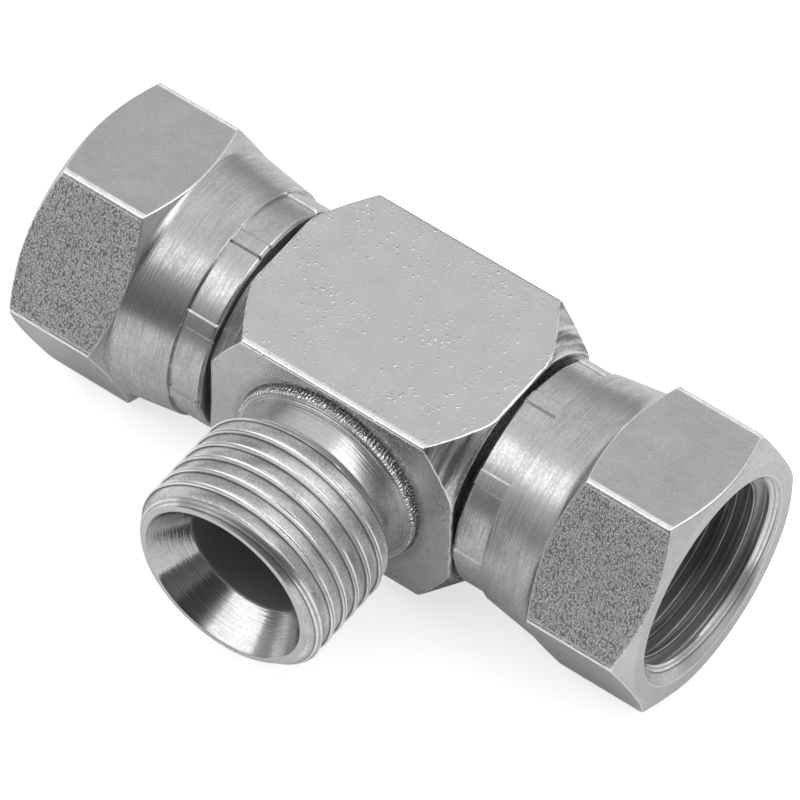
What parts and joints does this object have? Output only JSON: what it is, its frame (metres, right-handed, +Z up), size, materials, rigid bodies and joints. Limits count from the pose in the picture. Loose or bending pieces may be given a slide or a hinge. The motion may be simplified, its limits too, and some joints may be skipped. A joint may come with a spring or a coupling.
{
  "type": "swivel tee pipe fitting",
  "caption": "T-shaped steel pipe fitting with a male threaded branch and a swivelling hexagon nut crimped on each end of the run, sealing on cone seats.",
  "frame": {"origin": "where the run axis crosses the branch axis", "axes": "+X along the run towards the right nut, -Y along the branch towards its mouth, +Z up"},
  "size_m": [0.0704, 0.0418, 0.0268],
  "materials": {
    "body_steel": "zinc plated forging, satin with fine pits, turned threads and cone seats",
    "nut_steel": "zinc plated bar, fine-grained flats and a brushed, turned skirt"
  },
  "bodies": {
    "body": {"tee_body": "body_steel"},
    "left_nut": {"left_swivel_nut": "nut_steel"},
    "right_nut": {"right_swivel_nut": "nut_steel"}
  },
  "joints": [
    {"name": "left_nut_swivel", "type": "hinge", "parent": "body", "child": "left_nut", "pos_m": [-0.0197, 0, 0], "axis": [1, 0, 0], "continuous": true},
    {"name": "right_nut_swivel", "type": "hinge", "parent": "body", "child": "right_nut", "pos_m": [0.0197, 0, 0], "axis": [1, 0, 0], "continuous": true}
  ]
}
